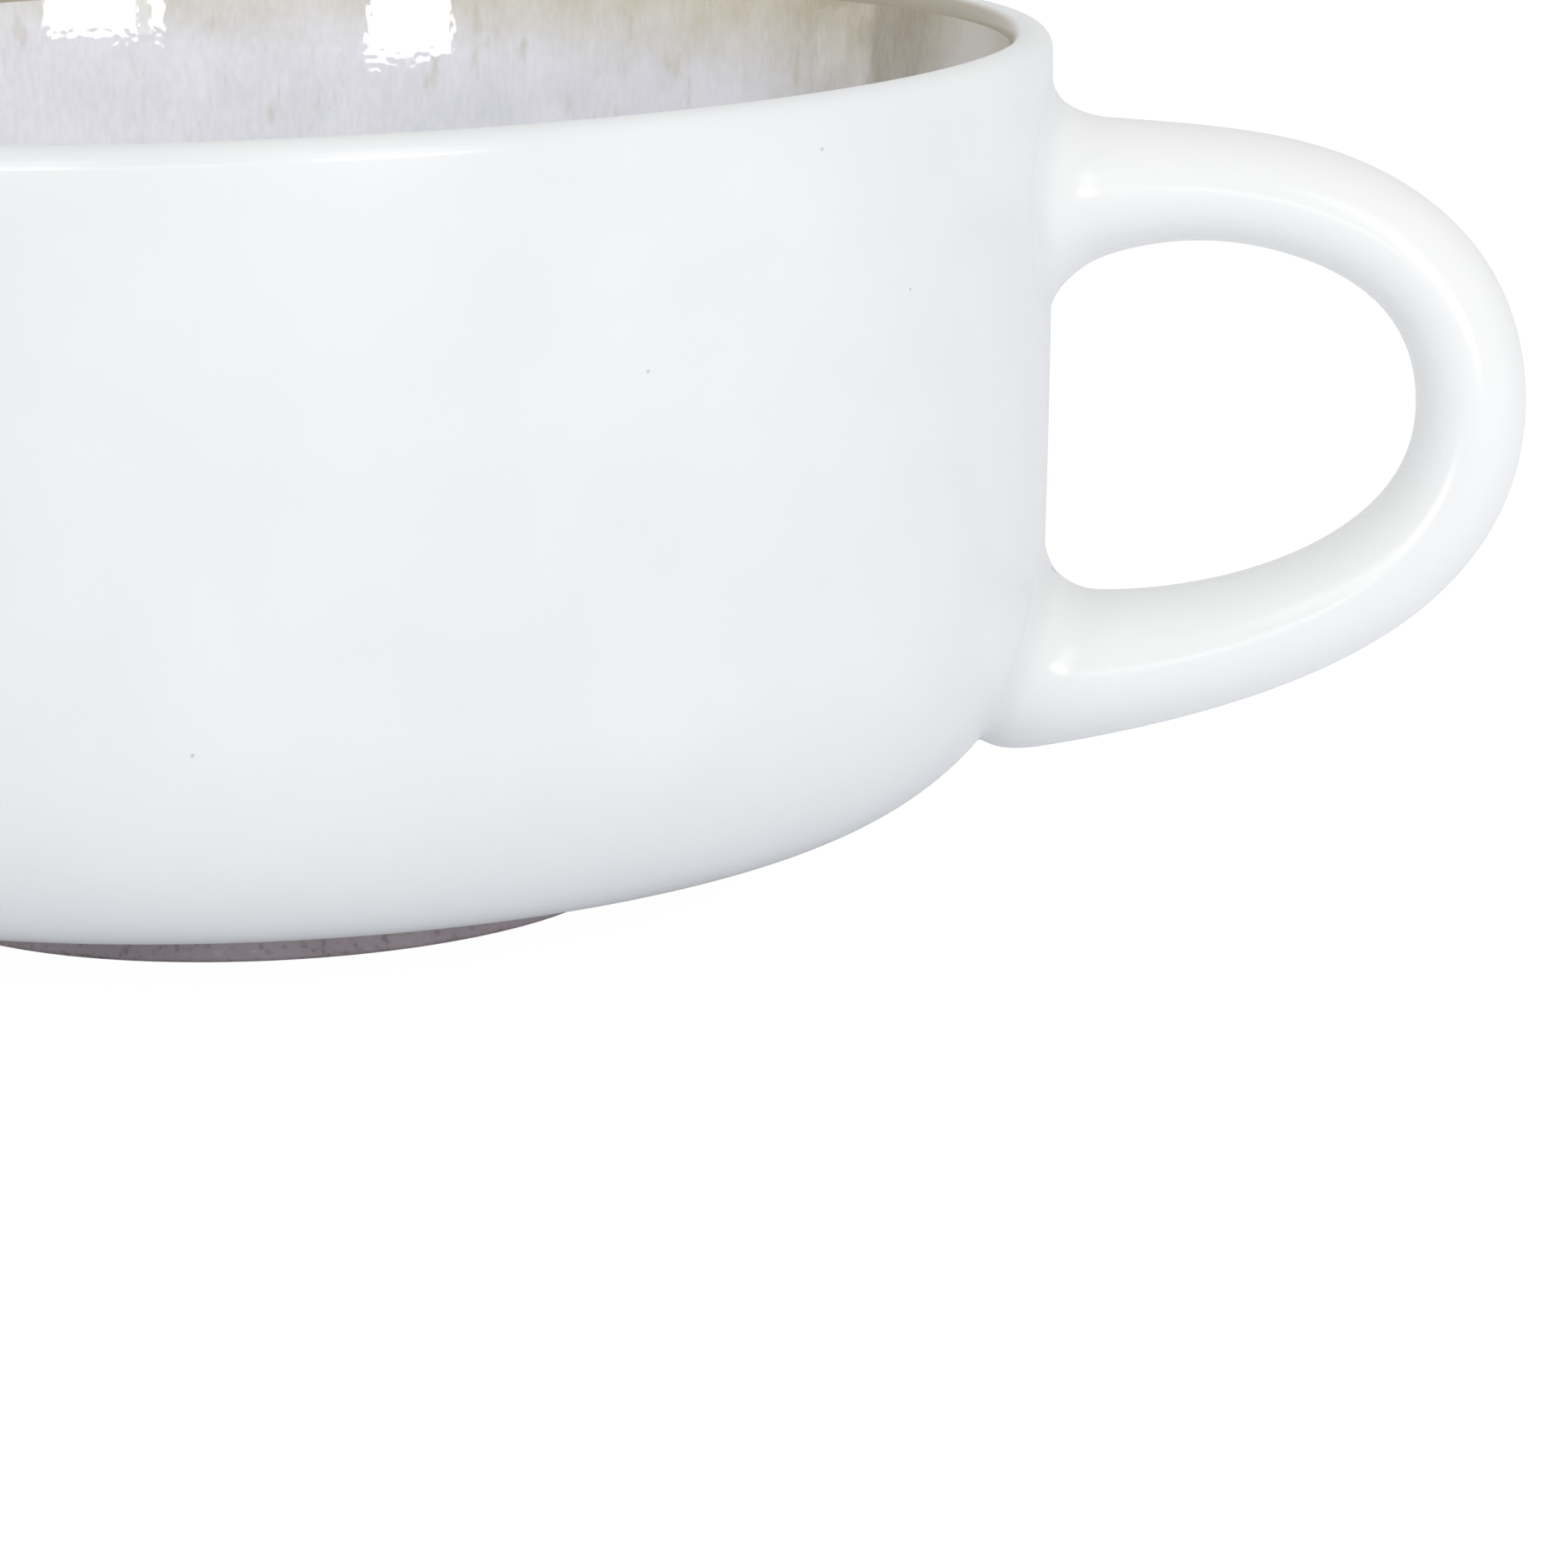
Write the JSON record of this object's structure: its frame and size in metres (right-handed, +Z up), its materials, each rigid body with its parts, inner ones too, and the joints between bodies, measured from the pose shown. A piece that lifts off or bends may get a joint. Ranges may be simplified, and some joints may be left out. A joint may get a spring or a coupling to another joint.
{
  "type": "soup mug",
  "caption": "Wide, low soup mug with a looped side handle, a rounded base on a bare turned foot ring, a matt white coat outside and a glossy glaze inside.",
  "frame": {"origin": "on the cup's axis, at table level in the middle of the foot ring", "axes": "+Z up along the cup's axis, +X towards the handle, +Y to the left of the handle seen from above"},
  "size_m": [0.154, 0.12, 0.0625],
  "materials": {
    "stoneware": "bare fired stoneware, brown grey and dull",
    "slip": "fired clay slip, dull",
    "white_glaze": "satin matt white glaze with a few fine dark specks",
    "reactive_glaze": "glossy reactive glaze, pale lavender grey running to khaki at the lip"
  },
  "bodies": {
    "root": {"cup_body": "stoneware", "handle": "stoneware", "upper_slip_joint": "slip", "lower_slip_joint": "slip", "cup_glaze": "white_glaze", "handle_glaze": "white_glaze", "lining_glaze": "reactive_glaze", "base_glaze": "white_glaze"}
  },
  "joints": []
}
